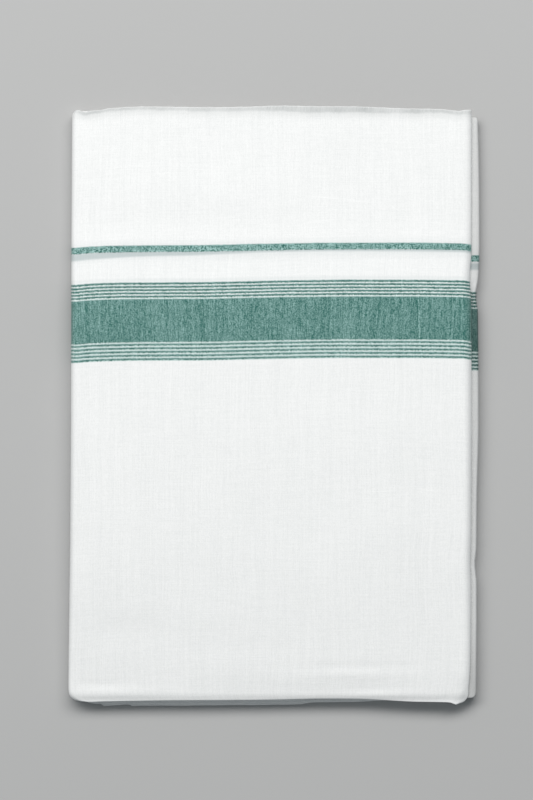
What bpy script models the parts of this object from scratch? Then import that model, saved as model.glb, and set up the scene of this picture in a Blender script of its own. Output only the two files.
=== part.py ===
"""A dhoti cloth: 4.0 m of thin white cotton, 1.27 m wide, with green stripes woven along both borders.

It lies as it is sold, pressed and folded into a flat packet. The cloth is folded once across its width, border on
border, and the rest of that doubled width is turned up behind. The strip that this makes is then halved four times
along its length: folds A, B, C and D, in that order. So the packet has 16 layers of strip.

- Its left side is fold D, one round spine over the whole thickness.
- Its right side has fold C round the upper eight layers. Below it, from the middle of the packet down, lie fold B
  round four layers, fold A round two, and the cloth's two cut ends.
- The strip is four plies thick below the edge of the turned-up flap and two plies thick above it, so the packet is
  thinner towards the top, where all the selvedges lie.

The packet lies flat. +Z is up, +Y points to the selvedges and +X to the folds A, B and C. The origin is the centre of
the underside.
"""

import math

import bpy
import numpy as np

MM = 0.001

# The cloth as it is pressed in the packet.
WALL = 1.0 * MM  # one layer of the doubled strip
GAP = 0.3 * MM  # room between layers that are solids of their own

# The middle lines of the packet's edges: every outline below is measured from these.
TOP = 186.0 * MM
BOTTOM = -185.0 * MM
LEFT = -126.5 * MM
RIGHT = 123.6 * MM

# Where the turned-up flap ends inside, and the length over which its sixteen edges are spread.
FLAP_END = 78.0 * MM
FLAP_SPREAD = 56.0 * MM

# Heights of the layers at the right side, above the surface that the packet lies on. In each row: the layer, its
# underside and upper side where the strip is two plies thick, then the same where it is four plies thick.
LEVELS = {
    "cut end": (1.3, 2.3, 1.3, 2.3),
    "fold A": (2.6, 3.6, 2.6, 4.4),
    "fold B": (3.9, 6.2, 4.7, 8.1),
    "mouth": (6.5, 7.5, 8.4, 9.4),
    "front": (9.4, 10.4, 13.6, 14.6),
}

# How far the folds' round edges reach in from the side.
LEFT_ROUND = 4.5 * MM
RIGHT_ROUND = 5.0 * MM
NOSE = 1.4 * MM

# The hidden layers leave this much of the right side to folds A and B, the cut end and the tucked layer.
ROOM_FROM = 101.5 * MM
TONGUE_END = 116.0 * MM
STEP = 0.5 * MM

# The front panel sinks a little over the packet's rim.
BOTTOM_SINK = 1.1 * MM
BOTTOM_SINK_FROM = 7.0 * MM
TOP_SINK = 0.4 * MM
TOP_SINK_FROM = 12.0 * MM

# Outlines in millimetres, as short tables of (place along the edge, distance outwards from its middle line).
UPPER_TOP = (
    (-126.0, -2.6),
    (-123.0, -1.4),
    (-118.5, -2.6),
    (-110.0, -1.6),
    (-103.0, -0.2),
    (-80.0, 0.9),
    (-40.0, 0.4),
    (0.0, 1.4),
    (60.0, 0.7),
    (104.0, -0.7),
    (113.0, -1.6),
    (118.0, -1.0),
    (124.0, -1.8),
)
LOWER_TOP = ((-126.0, -2.2), (-40.0, -3.4), (60.0, -5.2), (128.0, -6.3))
UPPER_BOTTOM = (
    (-123.0, -0.3),
    (-75.0, -0.3),
    (-40.0, -0.3),
    (20.0, -1.8),
    (57.0, -0.8),
    (88.0, 0.3),
    (109.0, 0.7),
    (114.0, 1.5),
    (119.0, -1.2),
    (124.0, -2.6),
)
LOWER_BOTTOM = (
    (-123.0, -0.3),
    (-113.0, 1.2),
    (-104.0, 2.5),
    (-60.0, 2.4),
    (15.0, 1.6),
    (24.0, 0.0),
    (80.0, -1.4),
    (128.0, -2.3),
)
LEFT_SIDE = (
    (-185.0, 1.8),
    (-160.0, 1.6),
    (-128.0, 1.2),
    (-80.0, 0.6),
    (0.0, 0.1),
    (90.0, -0.1),
    (186.0, -0.6),
)
FOLD_C_SIDE = (
    (-185.0, -0.9),
    (-120.0, -0.5),
    (-99.0, -0.9),
    (-80.0, -0.3),
    (60.0, -0.1),
    (70.0, -0.4),
    (79.0, -2.6),
    (84.0, -2.0),
    (96.0, 0.1),
    (186.0, 0.2),
)
FOLD_B_SIDE = (
    (-185.0, 1.4),
    (-90.0, 1.5),
    (60.0, 2.5),
    (68.0, 2.1),
    (73.0, 1.3),
    (80.0, 2.2),
    (100.0, 2.7),
    (186.0, 1.6),
)
FOLD_A_SIDE = (
    (-185.0, 2.7),
    (-112.0, 3.1),
    (-101.0, 2.0),
    (-92.0, 3.0),
    (-50.0, 3.4),
    (0.0, 4.1),
    (62.0, 4.1),
    (73.0, 2.7),
    (84.0, 4.2),
    (105.0, 4.8),
    (140.0, 4.3),
    (175.0, 3.2),
    (186.0, 2.4),
)
CUT_END_SIDE = ((-185.0, 2.2), (-60.0, 2.9), (40.0, 3.4), (120.0, 3.9), (186.0, 2.2))
BACK_END_SIDE = ((-185.0, 1.6), (-100.0, 2.4), (0.0, 2.6), (90.0, 3.3), (186.0, 2.0))

# Soft bulges and troughs of the front panel, in millimetres, each an uneven ellipse with its long axis turned.
CREASES = (
    # centre x, centre y, half length, half width, turn in degrees, height
    (45.0, -165.0, 38.0, 4.0, 1.0, 0.45),
    (30.0, -173.0, 24.0, 3.5, -2.0, 0.35),
    (75.0, -174.0, 30.0, 5.0, 3.0, -0.35),
    (-105.0, -174.5, 24.0, 3.5, -2.0, 0.4),
    (106.0, -174.0, 9.0, 5.0, 62.0, 0.5),
    (112.0, 82.0, 12.0, 5.0, 18.0, -0.45),
    (-60.0, 76.0, 70.0, 7.0, 0.5, 0.3),
)

# The edges of the hidden layers, bottom to top of the packet: how far each lies outside the outline of its half.
LOBES = (
    # half of the packet, at the bottom edge in mm, at the top edge in mm
    (0, -0.4, -0.8),
    (0, 0.1, 0.2),
    (0, -0.9, -1.5),
    (0, -0.2, -0.3),
    (1, -0.7, -1.1),
    (1, -1.3, -0.2),
    (1, -0.5, -1.8),
    (1, -1.0, -0.6),
)
LOBE_DEPTH = 0.7 * MM

WHITE_COTTON = (0.89, 0.90, 0.89)
SHADED_COTTON = (0.80, 0.82, 0.81)


def smooth(t):
    """0 below 0, 1 above 1, and an even slope between."""
    t = np.clip(t, 0.0, 1.0)
    return t * t * (3.0 - 2.0 * t)


def along(table, place):
    """The smooth curve through a table's rows, in metres, level past its two ends."""
    places, values = np.array(table).T * MM
    slopes = np.gradient(values, places)
    place = np.clip(place, places[0], places[-1])
    row = np.clip(np.searchsorted(places, place) - 1, 0, len(places) - 2)
    step = places[row + 1] - places[row]
    t = (place - places[row]) / step
    rise = smooth(t)
    return (
        values[row] * (1 - rise)
        + values[row + 1] * rise
        + step * t * (1 - t) * ((1 - t) * slopes[row] - t * slopes[row + 1])
    )


def corner(distance, radius):
    """How far a rounded corner lies inside the straight edge, at this distance from the end of that edge."""
    left = 1.0 - np.clip(distance / radius, 0.0, 1.0)
    return radius * (1.0 - np.sqrt(1.0 - left * left))


def stations(*stretches):
    """Places along an edge: for each stretch (from, to, steps), evenly spaced, in metres."""
    places = [np.linspace(start, end, steps, endpoint=False) for start, end, steps in stretches]
    return np.concatenate([*places, [stretches[-1][1]]]) * MM


def level(layer, side, y):
    """The height of a layer's underside (side 0) or upper side (side 1) at y."""
    two_plies = LEVELS[layer][side] * MM
    four_plies = LEVELS[layer][2 + side] * MM
    turned_up = smooth((FLAP_END - y) / FLAP_SPREAD + 0.5)
    return two_plies + (four_plies - two_plies) * turned_up


def front_height(x, y):
    """The height of the front panel's face."""
    sink = BOTTOM_SINK * smooth(1.0 - (y - BOTTOM) / BOTTOM_SINK_FROM)
    sink = sink + TOP_SINK * smooth(1.0 - (TOP - y) / TOP_SINK_FROM)
    height = level("front", 1, y) - sink
    inside = smooth((x - LEFT) / (8 * MM)) * smooth((RIGHT - x) / (8 * MM))
    for centre_x, centre_y, length, width, turn, rise in CREASES:
        across = x - centre_x * MM
        up = y - centre_y * MM
        cosine, sine = math.cos(math.radians(turn)), math.sin(math.radians(turn))
        far = ((across * cosine + up * sine) / length) ** 2 + ((up * cosine - across * sine) / width) ** 2
        height = height + inside * rise * MM * np.exp(-far / (MM * MM))
    return height


def left_side(y):
    """The smooth line of fold D, without its rounded corners."""
    return LEFT - along(LEFT_SIDE, y)


def edge_places(x, half):
    """The bottom and top edges at x, for the lower half of the packet (half 0), the upper one (half 1) or between."""
    bottom = BOTTOM - (1 - half) * along(LOWER_BOTTOM, x) - half * along(UPPER_BOTTOM, x)
    top = TOP + (1 - half) * along(LOWER_TOP, x) + half * along(UPPER_TOP, x)
    return bottom, top


# Rows of points from the bottom edge to the top edge, closer together at the corners, the dent and the flap's end.
ROWS = stations(
    (-185, -183, 3),
    (-183, -177, 3),
    (-177, -165, 2),
    (-165, -105, 2),
    (-105, -93, 3),
    (-93, 48, 4),
    (48, 108, 10),
    (108, 176, 3),
    (176, 183, 2),
    (183, 186, 2),
)
SHARE = (ROWS - BOTTOM) / (TOP - BOTTOM)


def rounded_side(table, bottom_radius, top_radius):
    """The right edge of a layer on every row, with its two corners."""
    inwards = corner(ROWS - BOTTOM, bottom_radius) + corner(TOP - ROWS, top_radius)
    return RIGHT + along(table, ROWS) - inwards


def material(name, colour):
    made = bpy.data.materials.new(name)
    made.use_nodes = True
    shader = made.node_tree.nodes["Principled BSDF"]
    shader.inputs["Base Color"].default_value = (*colour, 1.0)
    shader.inputs["Roughness"].default_value = 0.9
    shader.inputs["Metallic"].default_value = 0.0
    return made


def quads(rows, columns, wrap=False):
    """The faces of a grid of points, row after row. With wrap, the last column joins the first."""
    faces = []
    for row in range(rows - 1):
        for column in range(columns if wrap else columns - 1):
            following = (column + 1) % columns
            low, high = row * columns, (row + 1) * columns
            faces.append((low + column, low + following, high + following, high + column))
    return faces


def add_object(name, points, faces, colour):
    mesh = bpy.data.meshes.new(name)
    mesh.from_pydata(points.reshape(-1, 3).tolist(), [], faces)
    mesh.shade_smooth()
    mesh.set_sharp_from_angle(angle=math.radians(40))
    mesh.materials.append(material(name + "_cotton", colour))
    made = bpy.data.objects.new(name, mesh)
    bpy.context.scene.collection.objects.link(made)
    return made


def add_wall(name, outside, colour):
    """A cloth wall: the grid is its outer face, and the wall lies inside it."""
    rows, columns, _ = outside.shape
    wall = add_object(name, outside, quads(rows, columns), colour)
    solid = wall.modifiers.new("cloth", "SOLIDIFY")
    solid.thickness = WALL
    solid.offset = -1.0
    solid.use_even_offset = True
    return wall


def add_bar(name, sections, colour):
    """A solid through closed sections, each a ring with its points in pairs: first and last, second and last but one,
    and so on. Rungs between the pairs fill both ends."""
    count, ring, _ = sections.shape
    faces = quads(count, ring, wrap=True)
    end = (count - 1) * ring
    for point in range(ring // 2 - 1):
        rung = (point, point + 1, ring - 2 - point, ring - 1 - point)
        faces.append(rung[::-1])
        faces.append(tuple(end + corner_point for corner_point in rung))
    return add_object(name, sections, faces, colour)


def grid(x, share, half, height):
    """Points on every row: x, share and half are by row and column, and height(x, y) gives their z."""
    bottom, top = edge_places(x, half)
    y = bottom + share * (top - bottom)
    return np.stack([x, y, height(x, y)], axis=-1)


def arc(start, end, steps, squareness=2.0):
    """Points of a rounded quarter or half turn: (cosine, sine) pairs, squarer than a circle where it is above 2."""
    angles = np.radians(np.linspace(start, end, steps + 1))
    pairs = np.stack([np.cos(angles), np.sin(angles)], axis=-1)
    return np.sign(pairs) * np.abs(pairs) ** (2.0 / squareness)


def outer_ply():
    """The outermost layer: from the cut end on the underside, round fold D at the left, over the front and round
    fold C into the mouth between the packet's halves."""
    left = left_side(ROWS) + corner(ROWS - BOTTOM, 6.5 * MM) + corner(TOP - ROWS, 2.6 * MM)
    right = rounded_side(FOLD_C_SIDE, 6.5 * MM, 2.0 * MM)
    back_end = rounded_side(BACK_END_SIDE, 6.0 * MM, 4.0 * MM)
    spine = left + LEFT_ROUND
    turn = right - RIGHT_ROUND
    share = SHARE[:, None]

    def back(t):
        x = back_end[:, None] + t * (spine - back_end)[:, None]
        return grid(x, share, 0.0, lambda x, y: np.zeros_like(x))

    def fold_d(pairs):
        x = spine[:, None] + LEFT_ROUND * pairs[:, 0]
        half = (pairs[:, 1] + 1) / 2
        return grid(x, share, half, lambda x, y: front_height(x, y) * half)

    def front(t):
        x = spine[:, None] + t * (turn - spine)[:, None]
        return grid(x, share, 1.0, front_height)

    def fold_c(pairs):
        x = turn[:, None] + RIGHT_ROUND * pairs[:, 0]
        rise = (pairs[:, 1] + 1) / 2

        def height(x, y):
            low = level("mouth", 0, y)
            return low + (front_height(x, y) - low) * rise

        return grid(x, share, 1.0, height)

    def tuck(t):
        x = turn[:, None] + t * (ROOM_FROM + GAP - turn)[:, None]
        return grid(x, share, 1.0, lambda x, y: level("mouth", 0, y))

    near_left = np.array([0.02, 0.04, 0.07, 0.10, 0.15])
    even = np.arange(0.21, 0.90, 0.058)
    near_right = np.array([0.93, 0.96, 0.98, 1.0])
    outside = np.concatenate(
        [
            back(np.linspace(0, 1, 15)),
            fold_d(arc(270, 90, 10, 2.4)[1:]),
            front(np.concatenate([near_left, even, near_right])),
            fold_c(arc(90, -90, 8)[1:]),
            tuck(np.linspace(0, 1, 3)[1:]),
        ],
        axis=1,
    )
    return add_wall("outer_ply", outside, WHITE_COTTON)


def fold_b_ply():
    """The outer layer of fold B, a long U that opens to the left, inside the lower half of the packet."""
    side = rounded_side(FOLD_B_SIDE, 6.0 * MM, 4.0 * MM)[:, None]
    inner = ROOM_FROM + GAP
    turn = side - NOSE
    share = SHARE[:, None]
    nose = arc(90, -90, 8)

    def leg(t, height_side):
        x = inner + t * (turn - inner)
        return grid(x, share, 0.0, lambda x, y: level("fold B", height_side, y))

    def spine(pairs):
        x = turn + NOSE * pairs[:, 0]
        rise = (pairs[:, 1] + 1) / 2

        def height(x, y):
            low = level("fold B", 0, y)
            return low + (level("fold B", 1, y) - low) * rise

        return grid(x, share, 0.0, height)

    outside = np.concatenate(
        [
            leg(np.linspace(0, 1, 3)[:-1], 1),
            spine(nose),
            leg(np.linspace(1, 0, 3)[1:], 0),
        ],
        axis=1,
    )
    return add_wall("fold_b_ply", outside, SHADED_COTTON)


def leaf(name, layer, side_table, nose):
    """Layers pressed flat on each other, seen at their right edge: a round nose where they are a fold."""
    side = rounded_side(side_table, 6.0 * MM, 4.0 * MM)[:, None]
    inner = ROOM_FROM + GAP
    share = SHARE[:, None]
    if nose:
        pairs = arc(90, -90, 7)
        reach = 0.8 * MM
    else:
        pairs = np.array([(1.0, 1.0), (1.0, -1.0)])
        reach = 0.0
    rise = np.concatenate([[1.0, 1.0], (pairs[:, 1] + 1) / 2, [0.0, 0.0]])
    turn = side - reach
    middle = (inner + turn) / 2
    x = np.concatenate(
        [
            np.broadcast_to(inner, side.shape),
            middle,
            turn + reach * pairs[:, 0],
            middle,
            np.broadcast_to(inner, side.shape),
        ],
        axis=1,
    )

    def height(x, y):
        low = level(layer, 0, y)
        return low + (level(layer, 1, y) - low) * rise

    return add_bar(name, grid(x, share, 0.0, height), SHADED_COTTON)


def lobed_edge(x, bottom_edge, in_tongue):
    """The layered edge of the hidden layers at x: four (y, share of the height) points for each lobe, low to high."""
    points = []
    for number, (half, at_bottom, at_top) in enumerate(LOBES):
        bottom, top = edge_places(x, 1 if in_tongue else half)
        outwards = (at_bottom if bottom_edge else at_top) * MM
        crest = bottom - outwards if bottom_edge else top + outwards
        inwards = LOBE_DEPTH if bottom_edge else -LOBE_DEPTH
        for share, depth in ((0.06, 1.0), (0.3, 0.15), (0.7, 0.15), (0.94, 1.0)):
            points.append((crest + inwards * depth, (number + share) / len(LOBES)))
    return points


def hidden_layers():
    """All layers that don't show, as one rounded solid, with the edges of its layers at the top and bottom. At the
    right it thins to a tongue inside fold C, over the room of the layers that show there."""
    spine = LEFT + LEFT_ROUND
    inner_round = LEFT_ROUND - WALL - GAP
    places = np.concatenate(
        [
            spine + inner_round * arc(170, 90, 4, 2.4)[:, 0],
            stations((-112, -100, 2), (-100, 96, 8)),
            [ROOM_FROM - STEP, ROOM_FROM],
            stations((105, 111, 2), (111, 116, 3)),
        ]
    )
    crosswise = stations((-170, -100, 4), (-100, 48, 4), (48, 108, 8), (108, 169, 4))
    sections = []
    for x in places:
        in_tongue = x >= ROOM_FROM
        bulge = math.sqrt(1.0 - ((spine - x) / inner_round) ** 2) if x < spine else 1.0
        from_left = x - (spine - inner_round)
        bottom_rim = corner(from_left, 11.0 * MM) + corner(TONGUE_END - x, 10.0 * MM)
        top_rim = corner(from_left, 5.0 * MM) + corner(TONGUE_END - x, 5.0 * MM)

        def point(y, rise):
            lean = (left_side(y) - LEFT) * (1 - smooth((x - LEFT) / (60 * MM)))
            face = front_height(x + lean, y)
            low = level("mouth", 1, y) + GAP if in_tongue else WALL + GAP
            height = low + (face - WALL - GAP - low) * rise
            return x + lean, y, face / 2 + (height - face / 2) * bulge

        bottom_edge = [point(y + bottom_rim, rise) for y, rise in lobed_edge(x, True, in_tongue)]
        top_edge = [point(y - top_rim, rise) for y, rise in lobed_edge(x, False, in_tongue)]
        underside = [point(y, 0.0) for y in crosswise]
        upper_side = [point(y, 1.0) for y in crosswise[::-1]]
        half = len(bottom_edge) // 2
        sections.append(
            bottom_edge[:half][::-1] + underside + top_edge + upper_side + bottom_edge[half:][::-1]
        )
    return add_bar("hidden_layers", np.array(sections), SHADED_COTTON)


def stand_on_origin(pieces):
    """Moves the pieces so that the origin is the centre of the underside of them all."""
    corners = np.array([vertex.co for piece in pieces for vertex in piece.data.vertices])
    low, high = corners.min(axis=0), corners.max(axis=0)
    centre = np.array([(low[0] + high[0]) / 2, (low[1] + high[1]) / 2, low[2]])
    for piece in bpy.data.objects:
        points = np.array([vertex.co for vertex in piece.data.vertices]) - centre
        piece.data.vertices.foreach_set("co", points.ravel())


def main():
    for old in list(bpy.data.objects):
        bpy.data.objects.remove(old, do_unlink=True)
    pieces = [
        outer_ply(),
        fold_b_ply(),
        leaf("fold_a_ply", "fold A", FOLD_A_SIDE, nose=True),
        leaf("cut_end_ply", "cut end", CUT_END_SIDE, nose=False),
        hidden_layers(),
    ]
    stand_on_origin(pieces)


main()
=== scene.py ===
"""The look of the folded dhoti cloth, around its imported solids.

The strip of doubled cloth is followed along its whole length through the packet's sixteen layers, so
every fold, cut end, selvedge and turned edge that shows belongs to one continuous cloth. Lengths in
tables are in millimetres, and x and y in them are the frame's, before TO_ORIGIN is added.
"""

import math

import bmesh
import bpy
import numpy as np
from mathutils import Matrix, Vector


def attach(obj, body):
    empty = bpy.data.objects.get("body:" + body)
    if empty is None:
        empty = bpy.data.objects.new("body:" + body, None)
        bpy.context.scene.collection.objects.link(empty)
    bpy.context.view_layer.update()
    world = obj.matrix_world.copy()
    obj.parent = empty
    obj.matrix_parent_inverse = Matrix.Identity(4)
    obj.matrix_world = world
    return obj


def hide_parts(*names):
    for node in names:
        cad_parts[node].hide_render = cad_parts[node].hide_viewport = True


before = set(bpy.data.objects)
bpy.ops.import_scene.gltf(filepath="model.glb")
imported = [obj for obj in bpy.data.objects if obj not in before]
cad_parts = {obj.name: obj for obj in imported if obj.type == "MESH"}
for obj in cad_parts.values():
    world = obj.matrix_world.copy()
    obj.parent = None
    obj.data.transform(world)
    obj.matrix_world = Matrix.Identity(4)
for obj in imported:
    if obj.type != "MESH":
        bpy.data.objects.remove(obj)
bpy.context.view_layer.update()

MM = 0.001

# --------------------------------------------------------------------------------------------------
# Sizes. The outlines are those of the solids, with finer detail.
# --------------------------------------------------------------------------------------------------

TOP = 186.0 * MM
BOTTOM = -185.0 * MM
LEFT = -126.5 * MM
RIGHT = 123.6 * MM
HEIGHT = TOP - BOTTOM

# From the outlines' own centre to the frame's origin, which is the centre of the whole packet.
TO_ORIGIN = np.array((-0.18, 0.56, 0.0)) * MM

# The edge of the flap turned up behind: the middle and the width of the slope that it makes in the layers.
FLAP_END = 78.0 * MM
FLAP_SPREAD = 84.0 * MM

LAYERS = 16
# The packet's heights in millimetres: above the flap's edge the strip is two plies thick, below it four.
PACKET_TWO_PLIES = 10.4
PACKET_FOUR_PLIES = 14.6
# The heights between layers at the right, where the folds open. Elsewhere the layers are evenly spaced.
AT_RIGHT = (
    # layers below, height where the strip is two plies thick, height where it is four plies thick
    (0, 0.0, 0.0),
    (1, 1.15, 1.15),
    (2, 2.45, 2.45),
    (4, 3.75, 4.55),
    (8, 6.35, 8.25),
    (16, PACKET_TWO_PLIES, PACKET_FOUR_PLIES),
)
OPENS_FROM = 20.0 * MM
OPENS_TO = 98.0 * MM
# The cloth of one layer, which is the doubled strip with or without the flap, and the most of the
# layer's room that it takes.
TWO_PLIES_THICK = 0.58 * MM
FOUR_PLIES_THICK = 0.84 * MM
FILLED = 0.95
# Layers lie unevenly close within about this distance from the top and bottom edges.
LOOSE_REACH = 9.0 * MM

LEFT_ROUND = 4.5 * MM
LEFT_BOTTOM_CORNER = 9.5 * MM
LEFT_BOTTOM_SQUARENESS = 3.0
LEFT_TOP_CORNER = 2.6 * MM

# Painted shade on the leaf past the front's right side, which lies in the front's shade: how much darker it
# is painted over its face, its rim and its bottom.
LEAF_FROM = 117.0 * MM
LEAF_BLEND = 2.0 * MM
LEAF_RIM = 124.5 * MM
LEAF_RIM_BLEND = 3.5 * MM
LEAF_RIM_MORE = 0.5
LEAF_BOTTOM_HEIGHT = 60.0 * MM
LEAF_BOTTOM_MORE = 0.9

# How far the front turns down at its turned edge.
BOTTOM_SINK = (
    (-126.0, 1.0),
    (-70.0, 1.0),
    (-30.0, 1.0),
    (5.0, 1.1),
    (60.0, 1.15),
    (85.0, 1.25),
    (124.0, 0.9),
)
BOTTOM_SINK_FROM = 4.8 * MM

# The outlines at the top and the bottom of the packet's upper and lower halves: x, and how far the edge
# lies outside TOP or BOTTOM. The lower half's top lies inside it.
UPPER_TOP = (
    (-126.0, -2.9),
    (-123.2, -1.1),
    (-118.0, -2.7),
    (-113.4, -1.7),
    (-109.0, -1.5),
    (-103.0, -0.3),
    (-80.0, 0.85),
    (-40.0, 0.4),
    (-15.0, 0.75),
    (4.0, 1.4),
    (30.0, 0.95),
    (48.0, 0.9),
    (66.0, 0.3),
    (79.0, -0.25),
    (104.0, -0.75),
    (111.0, -1.4),
    (116.0, -2.0),
    (119.5, -1.2),
    (124.0, -1.2),
)
LOWER_TOP = ((-126.0, -2.2), (-40.0, -3.4), (60.0, -5.2), (128.0, -6.3))
UPPER_BOTTOM = (
    (-123.0, -0.4),
    (-118.0, 0.05),
    (-114.5, 0.15),
    (-108.0, -0.05),
    (-98.0, -0.25),
    (-71.0, -0.65),
    (-21.0, -0.95),
    (4.0, -1.25),
    (16.0, -1.55),
    (30.0, -1.8),
    (49.0, -1.75),
    (60.0, -1.45),
    (74.0, -0.6),
    (88.0, 0.1),
    (109.0, 0.5),
    (112.0, 1.0),
    (114.0, 2.0),
    (116.0, 1.2),
    (119.0, 0.3),
    (124.0, -2.2),
)
LOWER_BOTTOM = (
    (-123.0, -0.3),
    (-118.5, 0.6),
    (-114.5, 0.8),
    (-112.5, 1.3),
    (-107.4, 1.5),
    (-105.8, 2.75),
    (-103.5, 2.6),
    (-93.0, 2.0),
    (-89.8, 1.9),
    (-88.2, 2.8),
    (-84.0, 2.7),
    (-70.0, 2.6),
    (-21.0, 2.3),
    (4.0, 1.95),
    (17.0, 1.8),
    (23.0, 0.7),
    (50.0, 0.2),
    (80.0, -1.2),
    (128.0, -2.35),
)
# The outlines of the sides: y, and how far the side lies outside LEFT or RIGHT.
LEFT_SIDE = (
    (-185.0, 1.8),
    (-160.0, 1.6),
    (-128.0, 1.2),
    (-80.0, 0.6),
    (0.0, 0.1),
    (90.0, -0.1),
    (186.0, -0.6),
)
FOLD_C_SIDE = (
    (-185.0, -1.9),
    (-177.8, -1.7),
    (-171.6, -1.1),
    (-160.0, -0.6),
    (-120.0, -0.2),
    (-99.0, -0.6),
    (-80.0, -0.1),
    (-10.0, 0.2),
    (60.0, 0.1),
    (70.0, -0.3),
    (79.0, -0.9),
    (84.0, -0.8),
    (96.0, 0.1),
    (186.0, 0.2),
)
FOLD_B_SIDE = (
    (-185.0, 3.4),
    (-112.0, 3.4),
    (-99.0, 2.2),
    (-90.0, 3.2),
    (-60.0, 3.5),
    (-9.0, 4.6),
    (20.0, 4.5),
    (62.0, 4.1),
    (73.0, 2.7),
    (84.0, 4.5),
    (105.0, 5.1),
    (140.0, 5.0),
    (165.0, 4.6),
    (180.0, 4.2),
)
FOLD_A_SIDE = (
    (-185.0, 3.2),
    (-112.0, 3.3),
    (-99.0, 2.3),
    (-90.0, 3.2),
    (-60.0, 3.5),
    (-9.0, 4.7),
    (20.0, 4.6),
    (62.0, 4.2),
    (73.0, 2.9),
    (84.0, 4.6),
    (105.0, 5.2),
    (140.0, 5.1),
    (160.0, 4.9),
    (175.0, 4.5),
    (186.0, 3.9),
)
CUT_END_SIDE = (
    (-185.0, 2.2),
    (-100.0, 1.6),
    (-60.0, 2.5),
    (40.0, 3.4),
    (73.0, 2.3),
    (120.0, 3.9),
    (186.0, 2.2),
)
BACK_END_SIDE = ((-185.0, 1.6), (-100.0, 2.4), (0.0, 2.6), (90.0, 3.3), (186.0, 2.0))

# The right side of each fold and cut end: its outline, and the radii of its bottom and top corners.
RIGHT_SIDES = {
    "C": (FOLD_C_SIDE, 4.2, 0.7),
    "B": (FOLD_B_SIDE, 3.2, 1.5),
    "A": (FOLD_A_SIDE, 3.2, 1.5),
    "cut end": (CUT_END_SIDE, 5.0, 1.5),
    "back end": (BACK_END_SIDE, 6.0, 4.0),
}

# Each fold: the count of layers below its middle, half the count of layers that it goes round, how far it
# reaches sideways, how much less each further layer inside it does, how square its turn is (2 is round),
# and how many layers lower than its middle its furthest point lies, because the folded layers droop.
FOLDS = {
    "D": (8, 8, LEFT_ROUND, LEFT_ROUND / 8, 2.7, 0.0),
    "C": (12, 4, 5.0 * MM, 0.62 * MM, 2.0, 2.6),
    "B": (6, 2, 1.6 * MM, 0.45 * MM, 3.1, 1.0),
    "A": (3, 1, 1.0 * MM, 0.55 * MM, 3.0, 0.4),
}

# The strip's way through the packet: the layers in the order in which the cloth runs through them, from
# its first cut end to its second.
ORDER = (0, 15, 8, 7, 4, 11, 12, 3, 2, 13, 10, 5, 6, 9, 14, 1)
# What each layer ends in at the right.
RIGHT_END = ["back end", "cut end", "A", "A"] + ["B"] * 4 + ["C"] * 8
# Whether the border's face lies up (1) or down (-1) in a layer: the strip turns over at each fold.
FACE = [-1 if ORDER.index(layer) % 2 == 0 else 1 for layer in range(LAYERS)]

# How far each layer's turned edge at the bottom and its two selvedges at the top lie outside the outline
# of its half of the packet.
LAYER_EDGES = (
    # bottom, selvedge of the ply on the border's face, selvedge of the other ply
    (-0.1, 0.0, -0.7),
    (0.0, -0.9, -0.2),
    (-0.35, -0.3, -1.6),
    (-0.2, -1.4, -0.6),
    (-1.25, -0.5, -2.1),
    (-1.1, -1.8, -0.9),
    (-2.7, -0.2, -1.2),
    (-2.4, -1.0, 0.0),
    (-0.5, -3.6, -2.9),
    (-0.9, -3.1, -4.3),
    (-0.6, -4.0, -3.3),
    (-1.2, -3.4, -4.6),
    (-0.4, -2.9, -3.9),
    (-0.8, -4.2, -3.1),
    (-0.9, -3.3, -4.4),
    (0.0, 0.0, 0.0),
)
# Towards the right, the layers' turned edges come to lie level from here to there.
LEVEL_FROM = 55.0 * MM
LEVEL_TO = 90.0 * MM
# The part of fold D's and fold C's turn, as a share of its height, from where the outer layer looks like
# the front, with its crease lines and their painted highlight, and its see-through edge with painted shade.
FRONT_FROM = 0.6
FRONT_BLEND = 0.3
# How far inside its first selvedge the front's second one lies.
SECOND_SELVEDGE = (
    (-126.0, 2.2),
    (-96.0, 2.1),
    (-77.0, 2.3),
    (-46.0, 2.7),
    (-15.0, 2.9),
    (4.0, 3.5),
    (17.0, 4.2),
    (48.0, 3.9),
    (67.0, 3.8),
    (79.0, 3.3),
    (98.0, 2.8),
    (110.0, 2.4),
    (124.0, 3.2),
)

# Soft ridges and troughs of the front panel, which fade out this far from its left and right sides.
CREASES_FADE_LEFT = 8.0 * MM
CREASES_FADE_RIGHT = 5.0 * MM
CREASES = (
    # centre x, centre y, half length, half width, turn in degrees, height
    (47.8, -163.4, 34.0, 2.6, 0.8, -0.24),
    (47.8, -168.4, 36.0, 2.6, 0.0, 0.26),
    (22.0, -173.0, 22.0, 2.2, -1.5, 0.12),
    (64.0, -177.6, 17.0, 1.9, 0.5, -0.2),
    (66.5, -181.0, 20.0, 2.0, 0.0, 0.22),
    (-109.7, -174.6, 15.0, 1.9, -1.0, -0.3),
    (-101.0, -179.8, 27.0, 3.8, 1.0, 0.4),
    (-89.7, -140.0, 25.0, 9.5, 6.0, -0.38),
    (-30.0, -152.0, 46.0, 12.0, -4.0, -0.2),
    (-110.0, -72.0, 62.0, 6.0, 90.0, 0.2),
    (116.6, -179.8, 6.0, 2.2, 48.0, 0.3),
    (119.0, -175.0, 6.0, 2.0, 52.0, -0.25),
    (110.0, -181.5, 5.0, 1.6, 20.0, -0.15),
    (-35.0, 132.0, 48.0, 13.0, -3.0, 0.18),
    (70.0, 150.0, 40.0, 15.0, 8.0, -0.16),
    (-100.0, 112.0, 26.0, 11.0, 12.0, -0.15),
    (95.0, -20.0, 14.0, 70.0, 4.0, 0.22),
    (10.0, -70.0, 60.0, 24.0, 14.0, -0.22),
    (-60.0, 76.0, 70.0, 7.0, 0.5, 0.04),
)
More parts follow.
